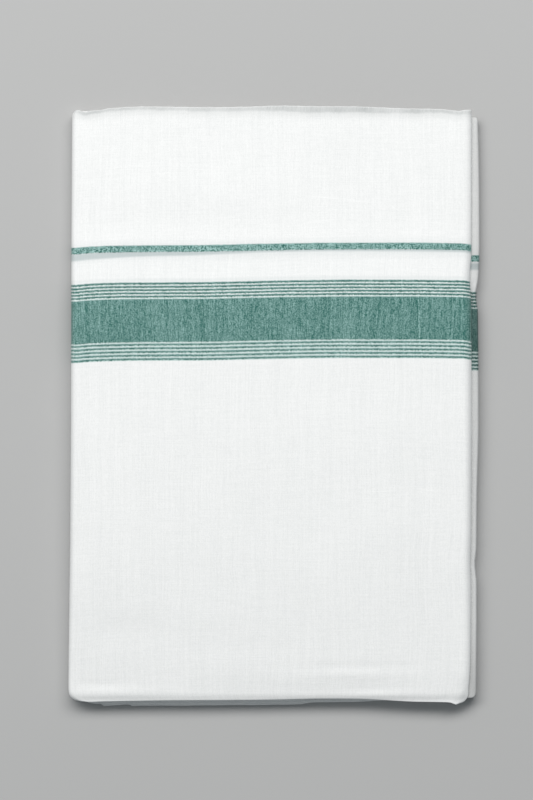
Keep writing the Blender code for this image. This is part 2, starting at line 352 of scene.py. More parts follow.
# Where the front is pressed down at its sides and its bottom corners.
PRESSED = (
    # centre x, centre y, half width, half length, height
    (125.2, 84.5, 3.2, 14.0, -1.6),
    (126.0, -104.0, 3.0, 7.0, -0.7),
    (126.0, 20.0, 2.6, 40.0, -0.5),
    (-118.0, -200.0, 55.0, 52.0, -1.8),
    (124.0, -186.0, 6.2, 8.0, -3.5),
)
# The front lies lower towards its bottom edge: over this height evenly, and more so in the last stretch.
BOTTOM_SAG = 2.2 * MM
BOTTOM_SAG_FROM = 115.0 * MM
END_SAG = ((-95.0, 0.1), (-46.0, 0.9), (-20.0, 1.4), (48.0, 1.4), (79.0, 0.7), (124.0, 0.4))
END_SAG_FROM = 32.0 * MM

# How far below its place in the middle of the front the border lies, on the upper half of the packet and
# on the lower half.
UPPER_BORDER_SAG = (
    (-123.0, 3.2),
    (-115.0, 2.5),
    (-102.0, 2.0),
    (-85.0, 1.7),
    (-46.0, 1.5),
    (-15.0, 0.9),
    (16.0, 0.3),
    (48.0, 0.0),
    (79.0, 0.0),
    (104.0, 0.2),
    (118.0, 0.4),
    (124.0, 1.3),
)
LOWER_BORDER_SAG = ((-123.0, 3.2), (-60.0, 4.2), (20.0, 5.6), (80.0, 6.9), (128.0, 7.8))
# How far the second ply's stripes lie below the first's.
UPPER_GHOST = (
    (-126.0, 4.3),
    (-115.0, 4.05),
    (-102.0, 3.6),
    (-86.0, 2.95),
    (-66.0, 2.5),
    (-55.0, 2.35),
    (-40.0, 1.9),
    (-25.0, 1.5),
    (-8.0, 1.15),
    (35.0, 1.05),
    (124.0, 1.4),
)
LOWER_GHOST = ((-126.0, 4.95), (128.0, 5.15))
THIN_STRIPE_Y = 99.7 * MM  # the middle of the thin stripe, in the middle of the front

# The picture: its height in pixels, one pixel of it on the front panel, and the place below its centre.
PAGE_HEIGHT = 800
PAGE_SCALE = 0.625 * MM
PAGE_CENTRE = (-4.56 * MM, 3.99 * MM)
LENS = 200.0
SENSOR = 36.0
CAMERA_AWAY = LENS * PAGE_HEIGHT * PAGE_SCALE / SENSOR


# --------------------------------------------------------------------------------------------------
# Curves
# --------------------------------------------------------------------------------------------------


def smooth(t):
    """0 below 0, 1 above 1, and an even slope between."""
    t = np.clip(t, 0.0, 1.0)
    return t * t * (3.0 - 2.0 * t)


def along(table, place):
    """The smooth curve through a table's rows, in metres. It never swings past a row."""
    places, values = np.array(table).T * MM
    rises = np.diff(values) / np.diff(places)
    product = rises[:-1] * rises[1:]
    inner = np.where(product > 0, 2 * product / np.where(product > 0, rises[:-1] + rises[1:], 1.0), 0.0)
    slopes = np.concatenate([rises[:1], inner, rises[-1:]])
    place = np.clip(place, places[0], places[-1])
    row = np.clip(np.searchsorted(places, place) - 1, 0, len(places) - 2)
    step = places[row + 1] - places[row]
    t = (place - places[row]) / step
    rise = smooth(t)
    return (
        values[row] * (1 - rise)
        + values[row + 1] * rise
        + step * t * (1 - t) * ((1 - t) * slopes[row] - t * slopes[row + 1])
    )


def corner(distance, radius, squareness=2.0):
    """How far a rounded corner lies inside the straight edge, this far from that edge's end."""
    left = 1.0 - np.clip(distance / radius, 0.0, 1.0)
    return radius * (1.0 - (1.0 - left**squareness) ** (1.0 / squareness))


def waver(place, length, seed):
    """A soft, uneven wave between about -1 and 1, different for each seed."""
    turn = 2 * math.pi * place / length
    return (
        0.5 * np.sin(turn + 1.7 * seed)
        + 0.3 * np.sin(2.3 * turn + 4.1 * seed)
        + 0.2 * np.sin(5.1 * turn + 2.9 * seed)
    )


# --------------------------------------------------------------------------------------------------
# The packet
# --------------------------------------------------------------------------------------------------


def creases(x, y):
    """How far the front's ridges, troughs and pressed places move it up."""
    inside = smooth((x - LEFT) / CREASES_FADE_LEFT) * smooth((RIGHT - x) / CREASES_FADE_RIGHT)
    height = np.zeros_like(x)
    for centre_x, centre_y, length, width, turn, rise in CREASES:
        across = x / MM - centre_x
        up = y / MM - centre_y
        cosine, sine = math.cos(math.radians(turn)), math.sin(math.radians(turn))
        far = ((across * cosine + up * sine) / length) ** 2 + ((up * cosine - across * sine) / width) ** 2
        height = height + rise * MM * np.exp(-far)
    height = inside * height
    for centre_x, centre_y, width, length, rise in PRESSED:
        far = ((x / MM - centre_x) / width) ** 2 + ((y / MM - centre_y) / length) ** 2
        height = height + rise * MM * np.exp(-far)
    return height


def loosened(count, x, y):
    """The count of layers below, moved where layers lie closer or further apart near the packet's edges."""
    to_edge = np.clip(np.minimum(TOP - y, y - BOTTOM), 0.0, None)
    loose = np.exp(-to_edge / LOOSE_REACH) * np.sin(math.pi * count / LAYERS)
    wide = 0.4 * np.sin(2 * math.pi * count / 5.3 + 1.6 * waver(x, 150 * MM, 1) + 1.1)
    narrow = 0.14 * np.sin(2 * math.pi * count / 2.4 + 2.0 * waver(x, 70 * MM, 2))
    return count + loose * (wide + narrow)


def flap_below(y):
    """1 where the flap lies in the strip, 0 above its edge, and a soft slope between."""
    return smooth((FLAP_END - y) / FLAP_SPREAD + 0.5)


def height_of(count, x, y):
    """The height at which this count of layers lies below, at x and y."""
    count = loosened(count, x, y)
    below, two_plies, four_plies = np.array(AT_RIGHT).T
    opened = smooth((x - OPENS_FROM) / (OPENS_TO - OPENS_FROM))
    thin = PACKET_TWO_PLIES * count / LAYERS * (1 - opened) + np.interp(count, below, two_plies) * opened
    thick = PACKET_FOUR_PLIES * count / LAYERS * (1 - opened) + np.interp(count, below, four_plies) * opened
    height = (thin + (thick - thin) * flap_below(y)) * MM
    upper_half = np.clip((count - 8) / 8, 0, 1)
    sink = along(BOTTOM_SINK, x) * smooth(1.0 - (y - BOTTOM) / BOTTOM_SINK_FROM)
    sink = sink + BOTTOM_SAG * smooth(1.0 - (y - BOTTOM) / BOTTOM_SAG_FROM)
    sink = sink + along(END_SAG, x) * smooth(1.0 - (y - BOTTOM) / END_SAG_FROM) ** 2
    return height - sink * upper_half + creases(x, y) * upper_half**2


def cloth_height(layer, depth, x, y):
    """The height in a layer's cloth: depth goes from -0.5 at its inner face to 0.5 at the border's face."""
    low, high = height_of(np.full_like(x, layer), x, y), height_of(np.full_like(x, layer + 1), x, y)
    thick = TWO_PLIES_THICK + (FOUR_PLIES_THICK - TWO_PLIES_THICK) * flap_below(y)
    thick = np.minimum(thick, FILLED * (high - low))
    middle = low + thick / 2 + layer / (LAYERS - 1) * (high - low - thick)
    return middle + FACE[layer] * depth * thick


def edge_places(x, half):
    """The bottom and top edges at x, in the packet's lower half (half 0), its upper one (1) or between."""
    bottom = BOTTOM - (1 - half) * along(LOWER_BOTTOM, x) - half * along(UPPER_BOTTOM, x)
    top = TOP + (1 - half) * along(LOWER_TOP, x) + half * along(UPPER_TOP, x)
    return bottom, top


def ply_tip(layer, x, ply):
    """How far one ply's selvedge lies past the outline."""
    if layer == 15:
        back = along(SECOND_SELVEDGE, x) + 0.3 * MM * waver(x, 23 * MM, 5)
        return 0.12 * MM * waver(x, 9 * MM, 2) - ply * back
    loose = 0.35 * waver(x, 37 * MM, layer + 3 * ply) + 0.2 * waver(x, 11 * MM, layer + 7 * ply)
    return (LAYER_EDGES[layer][1 + ply] + loose) * MM


def painted_shade_on_leaf(x, y):
    """How much painted shade darkens the cloth that shows past the front's right side."""
    shade_amount = smooth((x - LEAF_FROM) / LEAF_BLEND) + LEAF_RIM_MORE * smooth((x - LEAF_RIM) / LEAF_RIM_BLEND)
    return shade_amount * (1 + LEAF_BOTTOM_MORE * smooth(1 - (y - BOTTOM) / LEAF_BOTTOM_HEIGHT))


def from_above(x, y, z):
    """A point's place. The outlines are as seen at the front's height, and what is lower looks smaller."""
    spread = 1 + (PACKET_FOUR_PLIES * MM - z) / CAMERA_AWAY
    x = PAGE_CENTRE[0] - TO_ORIGIN[0] + (x - PAGE_CENTRE[0] + TO_ORIGIN[0]) * spread
    y = PAGE_CENTRE[1] - TO_ORIGIN[1] + (y - PAGE_CENTRE[1] + TO_ORIGIN[1]) * spread
    return np.stack([x, y, z], axis=-1)


class Section:
    """The ring of points round the doubled strip, at one station of its way.

    It goes from the turned bottom edge over the border's face to the two selvedges, and back over the
    inner face.
    """

    # The round of the turned bottom edge.
    NOSE_STEPS = 8
    NOSE = 0.9 * MM
    # From the outer side of a ply's edge to its tip: millimetres back from the tip, share of PLY_HALF.
    TIP = ((4.0, 1.0), (2.4, 1.0), (1.3, 1.0), (0.5, 0.92), (0.12, 0.6), (0.0, 0.0))
    # The two plies' middles and half their thickness, as shares of the cloth's thickness.
    PLY_MIDDLES = (0.27, -0.27)
    PLY_HALF = 0.23
    # How far apart a fold's outer and inner faces lie, in layers.
    FACES_APART = 0.95

    def __init__(self, rows_out, rows_in):
        nose = np.radians(np.linspace(-90, 90, self.NOSE_STEPS))
        ring = [(self.NOSE / HEIGHT * (1 - math.cos(a)), 0.5 * math.sin(a), -1, 0.0) for a in nose]
        ring += [(share, 0.5, -1, 0.0) for share in rows_out]
        first_tip = len(ring)
        tip = self.TIP + tuple((back, -side) for back, side in self.TIP[-2::-1])
        for ply, middle in enumerate(self.PLY_MIDDLES):
            ring += [(1.0, middle + self.PLY_HALF * side, ply, back) for back, side in tip]
        ring += [(share, -0.5, -1, 0.0) for share in rows_in[::-1]]
        self.share, self.depth, self.ply, back = np.array(ring).T
        self.back = back * MM
        self.size = len(ring)
        self.ends = self.end_faces(first_tip, len(tip))

    def end_faces(self, first_tip, tip_size):
        """Faces that close the strip where it is cut: one tongue for each ply, and the body below them."""
        faces = []
        for first in (first_tip, first_tip + tip_size):
            last = first + tip_size - 1
            middle = tip_size // 2
            faces += [(first + k, first + k + 1, last - k - 1, last - k) for k in range(middle - 1)]
            faces.append((first + middle - 1, first + middle, first + middle + 1))
        half_nose = self.NOSE_STEPS // 2
        outer = list(range(half_nose, first_tip + 1)) + [first_tip + tip_size - 1]
        inner = list(range(half_nose - 1, -1, -1))
        inner += list(range(self.size - 1, first_tip + 2 * tip_size - 2, -1)) + [first_tip + tip_size]
        height = self.share - self.back / HEIGHT
        a = b = 0
        while a < len(outer) - 1 or b < len(inner) - 1:
            outer_next = height[outer[a + 1]] if a < len(outer) - 1 else 2.0
            inner_next = height[inner[b + 1]] if b < len(inner) - 1 else 2.0
            if outer_next <= inner_next:
                faces.append((outer[a], outer[a + 1], inner[b]))
                a += 1
            else:
                faces.append((outer[a], inner[b + 1], inner[b]))
                b += 1
        return faces

    def sides(self, layer):
        """Where a layer's straight run ends at the left and at the right."""
        from_bottom, from_top = self.share * HEIGHT, (1 - self.share) * HEIGHT + self.back
        y = BOTTOM + from_bottom
        left = LEFT - along(LEFT_SIDE, y) + corner(from_bottom, LEFT_BOTTOM_CORNER, LEFT_BOTTOM_SQUARENESS)
        left = left + corner(from_top, LEFT_TOP_CORNER) + LEFT_ROUND
        side, bottom_radius, top_radius = RIGHT_SIDES[RIGHT_END[layer]]
        right = RIGHT + along(side, y) - corner(from_bottom, bottom_radius * MM)
        right = right - corner(from_top, top_radius * MM)
        if RIGHT_END[layer] in FOLDS:
            right = right - FOLDS[RIGHT_END[layer]][2]
        return left, right

    def points(self, station):
        """The ring's points, and two rows of values for the cotton at each of them.

        The first: how far below the thin stripe's middle the point lies on this ply, and on the second.
        The second: the way down from the selvedge, how far the second selvedge lies inside it on the
        front, and 1 on the front or, below 0, the leaf's painted shade.
        """
        kind, lower, upper, t = station
        left, right = self.sides(upper)
        if kind == "run":
            x = left + t * (right - left)
            rise = 1.0
            half = float(upper >= 8)
        else:
            middle, most, reach, step, squareness, droop = FOLDS[kind]
            across = abs(math.cos(t)) ** (2 / squareness)
            up = math.copysign(abs(math.sin(t)) ** (2 / squareness), math.sin(t))
            around = (upper - lower) / 2 + self.FACES_APART * FACE[upper] * self.depth
            away = (reach - (most - around) * step) * across
            x = left - away if kind == "D" else right + away
            rise = (up + 1) / 2
            half = rise if kind == "D" else float(upper >= 8)
        bottom, top = edge_places(x, half)
        if kind in ("A", "B", "C"):
            rise = float(smooth(2 * rise))
        inward = LAYER_EDGES[lower][0] * (1 - rise) + LAYER_EDGES[upper][0] * rise
        inward = inward + 0.16 * waver(x, 52 * MM, 1.3 * upper) * float(upper < 15)
        bottom = bottom - inward * MM * smooth((LEVEL_TO - x) / (LEVEL_TO - LEVEL_FROM))
        tips = [ply_tip(lower, x, ply) * (1 - rise) + ply_tip(upper, x, ply) * rise for ply in (0, 1)]
        reach_past = np.zeros_like(x)
        for ply, tip in enumerate(tips):
            reach_past = np.where(self.ply == ply, tip - self.back, reach_past)
        y = bottom + self.share * (top - bottom) + reach_past
        z = cloth_height(upper, self.depth, x, y)
        if kind != "run":
            pivot = height_of(middle - droop * around / most, x, y)
            z = np.where(up > 0, z, cloth_height(lower, self.depth, x, y))
            z = pivot + (z - pivot) * abs(up)
        sag = along(UPPER_BORDER_SAG, x) * half + along(LOWER_BORDER_SAG, x) * (1 - half)
        ghost = along(UPPER_GHOST, x) * half + along(LOWER_GHOST, x) * (1 - half)
        below = THIN_STRIPE_Y - sag - y
        front = float(smooth((rise - FRONT_FROM) / FRONT_BLEND)) if upper == 15 else 0.0
        # Painted shade for the leaf past the front's right side, stored below 0 in the third value.
        leaf_painted_shade = painted_shade_on_leaf(x, y) if upper < 8 else 0.0
        edges = np.stack(
            [top + tips[0] - y, (tips[0] - tips[1]) * front, np.full_like(x, front) - leaf_painted_shade], axis=-1
        )
        return from_above(x, y, z), np.stack([below, below - ghost], axis=-1), edges


# --------------------------------------------------------------------------------------------------
# The way of the strip
# --------------------------------------------------------------------------------------------------

# Which piece the strip belongs to in each layer, at the right of SPLIT and at the left of it.
RIGHT_PIECE = (
    ["outer_cloth", "cut_end_cloth", "fold_a_cloth", "fold_a_cloth"]
    + ["fold_b_cloth"] * 4
    + ["outer_cloth"]
    + ["inner_layers_cloth"] * 6
    + ["outer_cloth"]
)
LEFT_PIECE = ["outer_cloth"] + ["inner_layers_cloth"] * 14 + ["outer_cloth"]
# The share of a run where the folds that show at the right leave the hidden layers, near x of 101.5.
SPLIT = 0.912
# The shares of a run where the lowest layers' turned edges lie in little steps.
STEPPED = np.linspace(0.043, 0.153, 41)
# How far apart the stations of a run are, as a share of it: in the two outermost layers, in the others
# and at the right of SPLIT.
RUN_STEPS = {15: 0.009, 0: 0.016}
INNER_RUN_STEP = 0.0175
RIGHT_RUN_STEP = 0.0098


def stations_of(kind, lower, upper, places):
    """A station of the strip's way is a run or a fold's letter, the layers it joins, and a place in it."""
    return [(kind, lower, upper, place) for place in places]


def run_legs(layer, rightwards):
    """The straight run of one layer, split where the folds at the right leave the hidden layers."""
    step = RUN_STEPS.get(layer, INNER_RUN_STEP)
    left_part = np.linspace(0.0, SPLIT, round(SPLIT / step) + 1)
    if layer < 2:
        left_part = np.union1d(left_part, STEPPED)
    right_part = np.linspace(SPLIT, 1.0, round((1 - SPLIT) / RIGHT_RUN_STEP) + 1)
    legs = [
        (LEFT_PIECE[layer], stations_of("run", layer, layer, left_part)),
        (RIGHT_PIECE[layer], stations_of("run", layer, layer, right_part)),
    ]
    return legs if rightwards else [(piece, stations[::-1]) for piece, stations in legs[::-1]]


def fold_leg(start, end, at_left):
    """The turn from one layer to the next of the strip's way."""
    lower, upper = min(start, end), max(start, end)
    kind = "D" if at_left else RIGHT_END[upper]
    piece = (LEFT_PIECE if at_left else RIGHT_PIECE)[upper]
    if (lower, upper) == (0, 15):
        steps = 26
    elif piece == "inner_layers_cloth":
        steps = 8
    else:
        steps = 14
    turn = np.radians(np.linspace(-90, 90, steps + 1))
    return piece, stations_of(kind, lower, upper, turn if end > start else turn[::-1])


def stretches_of_strip():
    """The strip's stations from end to end, as stretches that each belong to one piece."""
    legs = []
    for place, layer in enumerate(ORDER):
        legs += run_legs(layer, rightwards=place % 2 == 1)
        if place < LAYERS - 1:
            legs.append(fold_leg(layer, ORDER[place + 1], at_left=place % 2 == 0))
    stretches = []
    for piece, stations in legs:
        if stretches and stretches[-1][0] == piece:
            stretches[-1][1].extend(stations[1:])
        else:
            stretches.append((piece, stations))
    return stretches


# Rows of points up the cloth, as shares of the strip's height.
FINE_ROWS = np.concatenate([[0.0045, 0.007, 0.0105], np.arange(0.015, 0.974, 0.0054)])
HIDDEN_ROWS = np.concatenate([[0.006, 0.012, 0.02, 0.03], np.arange(0.045, 0.96, 0.0185), [0.972]])
FEW_ROWS = np.concatenate(
    [
        [0.006, 0.012, 0.02, 0.035, 0.07, 0.15, 0.3, 0.45],
        np.arange(0.54, 0.885, 0.026),
        [0.92, 0.95, 0.965, 0.972],
    ]
)
# The rows of each piece on the border's face and on the inner face.
ROWS = {
    "outer_cloth": (FINE_ROWS, HIDDEN_ROWS),
    "fold_b_cloth": (FINE_ROWS[::2], HIDDEN_ROWS),
    "fold_a_cloth": (FINE_ROWS[::2], HIDDEN_ROWS),
    "cut_end_cloth": (FINE_ROWS[::2], HIDDEN_ROWS),
    "inner_layers_cloth": (FEW_ROWS, FEW_ROWS),
}


def make_piece(name, stretches):
    """One mesh of all the stretches of strip in this piece, each closed where it is cut or handed on."""
    section = Section(*ROWS[name])
    points, cloth, edges, faces = [], [], [], []
    first = 0
    for stations, distances in stretches:
        for station, distance in zip(stations, distances):
            place, below, edge = section.points(station)
            points.append(place + TO_ORIGIN)
            cloth.append(np.column_stack([np.full(section.size, distance), below]))
            edges.append(edge)
        ring = np.arange(section.size)
        following = np.roll(ring, -1)
        starts = first + section.size * np.arange(len(stations) - 1)[:, None]
        ends = starts + section.size
        quads = np.stack([starts + ring, starts + following, ends + following, ends + ring], axis=-1)
        faces += quads.reshape(-1, 4).tolist()
        last = first + section.size * (len(stations) - 1)
        faces += [[first + point for point in face[::-1]] for face in section.ends]
        faces += [[last + point for point in face] for face in section.ends]
        first = last + section.size
    mesh = bpy.data.meshes.new(name)
    mesh.from_pydata(np.concatenate(points).tolist(), [], faces)
    for label, values in (("cloth", cloth), ("edges", edges)):
        stored = mesh.attributes.new(label, "FLOAT_VECTOR", "POINT")
        stored.data.foreach_set("vector", np.concatenate(values).astype(np.float32).ravel())
    shell = bmesh.new()
    shell.from_mesh(mesh)
    bmesh.ops.recalc_face_normals(shell, faces=shell.faces)
    shell.to_mesh(mesh)
    shell.free()
    mesh.shade_smooth()
    mesh.set_sharp_from_angle(angle=math.radians(50))
    piece = bpy.data.objects.new(name, mesh)
    bpy.context.scene.collection.objects.link(piece)
    return piece


def make_cloth():
    """Every piece of the cloth, with the distance along it carried through all of them, and their lengths."""
    probe = Section([0.5], [0.5])
    halfway = probe.share == 0.5
    found = {}
    distance, before = 0.0, None
    for piece, stations in stretches_of_strip():
        distances = []
        for station in stations:
            middle = probe.points(station)[0][halfway][:, [0, 2]].mean(axis=0)
            if before is not None:
                distance += float(np.linalg.norm(middle - before))
            before = middle
            distances.append(distance)
        found.setdefault(piece, []).append((stations, distances))
    pieces = {name: make_piece(name, stretches) for name, stretches in found.items()}
    lengths = {
        name: sum(distances[-1] - distances[0] for _, distances in stretches)
        for name, stretches in found.items()
    }
    return pieces, lengths


# --------------------------------------------------------------------------------------------------
# Materials
# --------------------------------------------------------------------------------------------------


YARNS_APART = 7.31  # how far apart in the noise two yarns side by side lie, so that they don't look alike


class Nodes:
    """Short ways to add and join shader nodes."""

    def __init__(self, material):
        material.use_nodes = True
        self.tree = material.node_tree
        self.shader = next(node for node in self.tree.nodes if node.type == "BSDF_PRINCIPLED")

    def add(self, kind, inputs=(), **settings):
        node = self.tree.nodes.new(kind)
        for key, value in settings.items():
            setattr(node, key, value)
        for key, value in dict(inputs).items():
            self.put(node.inputs[key], value)
        return node

    def put(self, socket, value):
        """Join the socket to another one, or give it a value."""
        if isinstance(value, bpy.types.NodeSocket):
            self.tree.links.new(value, socket)
        elif value is not None:
            socket.default_value = value

    def math(self, operation, first, second=None, third=None):
        node = self.add("ShaderNodeMath", operation=operation)
        for socket, value in zip(node.inputs, (first, second, third)):
            self.put(socket, value)
        return node.outputs[0]

    def slope(self, value, start, end):
        """0 where value is at start, 1 where it is at end, smooth between; end may be below start."""
        low, high = min(start, end), max(start, end)
        node = self.add("ShaderNodeMapRange", {"Value": value, "From Min": low, "From Max": high})
        node.interpolation_type = "SMOOTHSTEP"
        if end < start:
            node.inputs["To Min"].default_value = 1.0
            node.inputs["To Max"].default_value = 0.0
        return node.outputs["Result"]

    def mix(self, share, first, second):
        node = self.add("ShaderNodeMix", data_type="RGBA")
        for socket, value in zip((node.inputs[0], node.inputs[6], node.inputs[7]), (share, first, second)):
            self.put(socket, value)
        return node.outputs[2]

    def noise(self, across, up, across_size, up_size, detail=2.0, seed=0.0):
        """Soft noise, about -1 to 1, of this grain across and up the cloth."""
        x = self.math("MULTIPLY", across, 1 / across_size)
        y = self.math("MULTIPLY_ADD", up, 1 / up_size, seed)
        place = self.add("ShaderNodeCombineXYZ", {"X": x, "Y": y})
        node = self.add("ShaderNodeTexNoise", {"Vector": place.outputs[0], "Scale": 1.0, "Detail": detail})
        node.noise_dimensions = "2D"
        return self.math("MULTIPLY_ADD", node.outputs[0], 4.0, -2.0)

    def yarn(self, across, width):
        """A whole number for each yarn of this width."""
        return self.math("FLOOR", self.math("MULTIPLY", across, 1 / width))

    def yarns(self, yarn, way, length, seed):
        """Soft noise, about -1 to 1, along the way of each yarn, different for each."""
        return self.noise(yarn, way, 1 / YARNS_APART, length, 1.0, seed)

    def crossings(self, column, row):
        """An even random value, -1 to 1, for each crossing of two yarns."""
        place = self.add("ShaderNodeCombineXYZ", {"X": column, "Y": row})
        node = self.add("ShaderNodeTexWhiteNoise", {"Vector": place.outputs[0]}, noise_dimensions="2D")
        return self.math("MULTIPLY_ADD", node.outputs["Value"], 2.0, -1.0)

    def band(self, value, start, end, blur):
        """1 where value lies from start to end, 0 outside, with soft edges."""
        rise = self.slope(value, start - blur, start + blur)
        return self.math("MULTIPLY", rise, self.slope(value, end + blur, end - blur))

    def vector(self, operation, *values):
        return self.add("ShaderNodeVectorMath", dict(enumerate(values)), operation=operation).outputs[0]

    def weighted(self, *terms):
        """The sum of (value, weight) pairs. A value of 1.0 adds its weight alone."""
        total = self.math("MULTIPLY", *terms[0])
        for value, weight in terms[1:]:
            total = self.math("MULTIPLY_ADD", value, weight, total)
        return total


# The border, from the middle of the thin stripe down.
THIN_STRIPE_HALF = 2.08 * MM
UPPER_LINES = (20.8 * MM, 2.04 * MM, 0.64)  # where they start, their spacing, and the green share of it
LOWER_LINES = (58.84 * MM, 2.27 * MM, 0.57)
LINES = 5
BROAD_STRIPE = (31.48 * MM, 58.45 * MM)
EDGE = 0.3 * MM  # the softness of a stripe's edge, about one yarn

YARN = 0.42 * MM  # the yarns' spacing
RIB_SPACING_ACROSS = 0.37 * MM
RIB_SPACING_UP = 0.39 * MM
RELIEF_DEPTH = 0.06 * MM
RELIEF_STRENGTH = 0.5
THICK_YARN_AT = 0.4789  # distance from the cloth's first cut end, where it crosses the thin stripe
THICK_YARN_LEAN = 0.058  # how far it moves along the cloth for each metre down
DEEPER_GREEN = (0.445, 0.55)  # the stretch of the cloth where the border is dyed a little deeper

# Painted shade on the leaf's cloth: the share of its colour taken off where its painted shade is 1, and how
# much more its green loses.
LEAF_SHADE = 0.22
LEAF_BAND_SHADE = 0.2

WHITE = (0.898, 0.900, 0.899, 1.0)
WHITE_SHADE = (0.784, 0.793, 0.793, 1.0)
GREEN = (0.026, 0.126, 0.106, 1.0)
GREEN_LIGHT = (0.328, 0.518, 0.495, 1.0)
SEEN_THROUGH = (0.27, 0.355, 0.365, 1.0)
GREEN_THROUGH = (0.14, 0.44, 0.40, 1.0)
# The painted shade of the gap below, seen through a single thin ply.
GAP_SHADE_THROUGH = (0.25, 0.27, 0.27, 1.0)
# A painted highlight along the crease lines on the front.
CREASE_HIGHLIGHT = (0.93, 0.93, 0.925, 1.0)

CREASE_LINE_HALF = 0.75 * MM
CREASE_LINE_WOBBLE = 1.2 * MM
# Sharp little crease lines, where the cloth was folded smaller before: raised in the relief, and painted
# lighter as a highlight on the front.
CREASE_LINES = (
    # centre x, centre y, half length, turn in degrees, strength
    (-83.0, 149.5, 27.0, 0.3, 0.8),
    (-47.0, 147.5, 10.0, -6.0, 0.6),
    (-26.0, 137.0, 13.0, 0.0, 0.5),
    (38.5, 129.2, 33.0, -5.8, 0.7),
    (76.0, 123.3, 7.0, -27.0, 0.6),
    (91.0, 110.0, 7.0, -34.0, 0.5),
    (67.8, -54.0, 12.0, 0.5, 1.0),
    (97.8, -53.4, 9.5, -7.0, 0.9),
    (39.7, -50.4, 12.0, 1.0, 0.5),
    (-60.6, -84.6, 14.0, 2.5, 0.7),
    (16.5, -73.8, 7.0, 0.0, 0.6),
    (19.0, -3.1, 10.0, -5.0, 0.5),
    (63.8, -15.3, 17.0, 0.5, 0.4),
    (-36.0, -157.8, 12.0, -3.0, 0.5),
    (-117.5, -103.2, 7.0, 0.0, 0.7),
    (-119.7, -151.7, 6.0, -1.5, 0.6),
    (117.0, -53.8, 4.0, 0.0, 0.6),
    (28.0, -173.6, 14.0, -3.0, 0.7),
)


def stripes(nodes, below):
    """1 on the thin stripe, and 1 on the band's, at this distance below the middle of the thin stripe."""

    def lines(start, spacing, green):
        place = nodes.math("FRACT", nodes.math("DIVIDE", nodes.math("SUBTRACT", below, start), spacing))
        off_middle = nodes.math("ABSOLUTE", nodes.math("SUBTRACT", place, 0.5))
        soft = EDGE / spacing
        line = nodes.slope(off_middle, green / 2 + soft, green / 2 - soft)
        return nodes.math("MULTIPLY", line, nodes.band(below, start, start + LINES * spacing, EDGE))

    thin = nodes.band(below, -THIN_STRIPE_HALF, THIN_STRIPE_HALF, EDGE)
    broad = nodes.band(below, *BROAD_STRIPE, EDGE)
    return thin, nodes.weighted((broad, 1.0), (lines(*UPPER_LINES), 1.0), (lines(*LOWER_LINES), 1.0))


def crease_lines(nodes):
    """The strength of the sharp crease lines, at places of the frame."""
    place = nodes.add("ShaderNodeTexCoord").outputs["Object"]
    wobble = nodes.add("ShaderNodeTexNoise", {"Vector": place, "Scale": 90.0, "Detail": 1.0}).outputs["Color"]
    wobble = nodes.vector("MULTIPLY_ADD", wobble, (2 * CREASE_LINE_WOBBLE,) * 3, (-CREASE_LINE_WOBBLE,) * 3)
    place = nodes.vector("ADD", place, wobble)
    place = nodes.vector("MULTIPLY", place, (1.0, 1.0, 0.0))
    total = None
    for x, y, length, turn, strength in CREASE_LINES:
        middle = (x * MM + TO_ORIGIN[0], y * MM + TO_ORIGIN[1], 0.0)
        local = nodes.add(
            "ShaderNodeMapping",
            {
                "Vector": place,
                "Location": middle,
                "Rotation": (0.0, 0.0, math.radians(turn)),
                "Scale": (length * MM, CREASE_LINE_HALF, 1.0),
            },
            vector_type="TEXTURE",
        )
        far = nodes.add("ShaderNodeVectorMath", {0: local.outputs[0]}, operation="LENGTH").outputs["Value"]
        line = nodes.math("MULTIPLY", nodes.slope(far, 1.0, 0.0), strength)
        total = line if total is None else nodes.math("ADD", total, line)
    return total


def attribute(nodes, name):
    """The three parts of one of the cloth's stored rows of values."""
    row = nodes.add("ShaderNodeAttribute", attribute_name=name).outputs["Vector"]
    return nodes.add("ShaderNodeSeparateXYZ", {"Vector": row}).outputs


def one_ply_left(nodes, along_cloth, below, slubs, from_selvedge, set_back, front):
    """Painted shade: how much of the shaded gap below shows through the thin single ply, past the second
    ply's edge where only one ply is left.
    """
    patchy = nodes.noise(along_cloth, below, 17 * MM, 60 * MM, 2.0, 41.0)
    ragged = nodes.math("MULTIPLY_ADD", slubs, 0.35 * MM, from_selvedge)
    short = nodes.math("SUBTRACT", set_back, ragged)
    near = nodes.slope(short, -0.6 * MM, 1.0 * MM)
    far = nodes.slope(short, -6.0 * MM, 2.0 * MM)
    thin = nodes.weighted((near, 0.5), (far, 0.5))
    thin = nodes.math("MULTIPLY", thin, nodes.slope(from_selvedge, -0.6 * MM, 0.6 * MM))
    return nodes.math("MULTIPLY", thin, nodes.weighted((patchy, 0.1), (slubs, 0.08), (front, 0.42)))


def seen_through(nodes, below, ghost_below):
    """How much of the second ply's green shows through the white.

    Its thin stripe does, a soft halo round this ply's thin stripe, and a little above the band.
    Between the thin stripe and the band the white also gets a faint painted shade.
    """
    ghost = nodes.band(ghost_below, -THIN_STRIPE_HALF, THIN_STRIPE_HALF, 3 * EDGE)
    halo = nodes.band(below, -4.5 * MM, 6.6 * MM, 10 * EDGE)
    over_band = nodes.band(below, UPPER_LINES[0] - 2.2 * MM, UPPER_LINES[0], 3 * EDGE)
    # Painted shade: a faint darkening of the white between the thin stripe and the band.
    stripe_gap_shade = nodes.band(below, 0.0, UPPER_LINES[0], EDGE)
    return nodes.weighted((ghost, 0.44), (halo, 0.11), (over_band, 0.12), (stripe_gap_shade, 0.03))


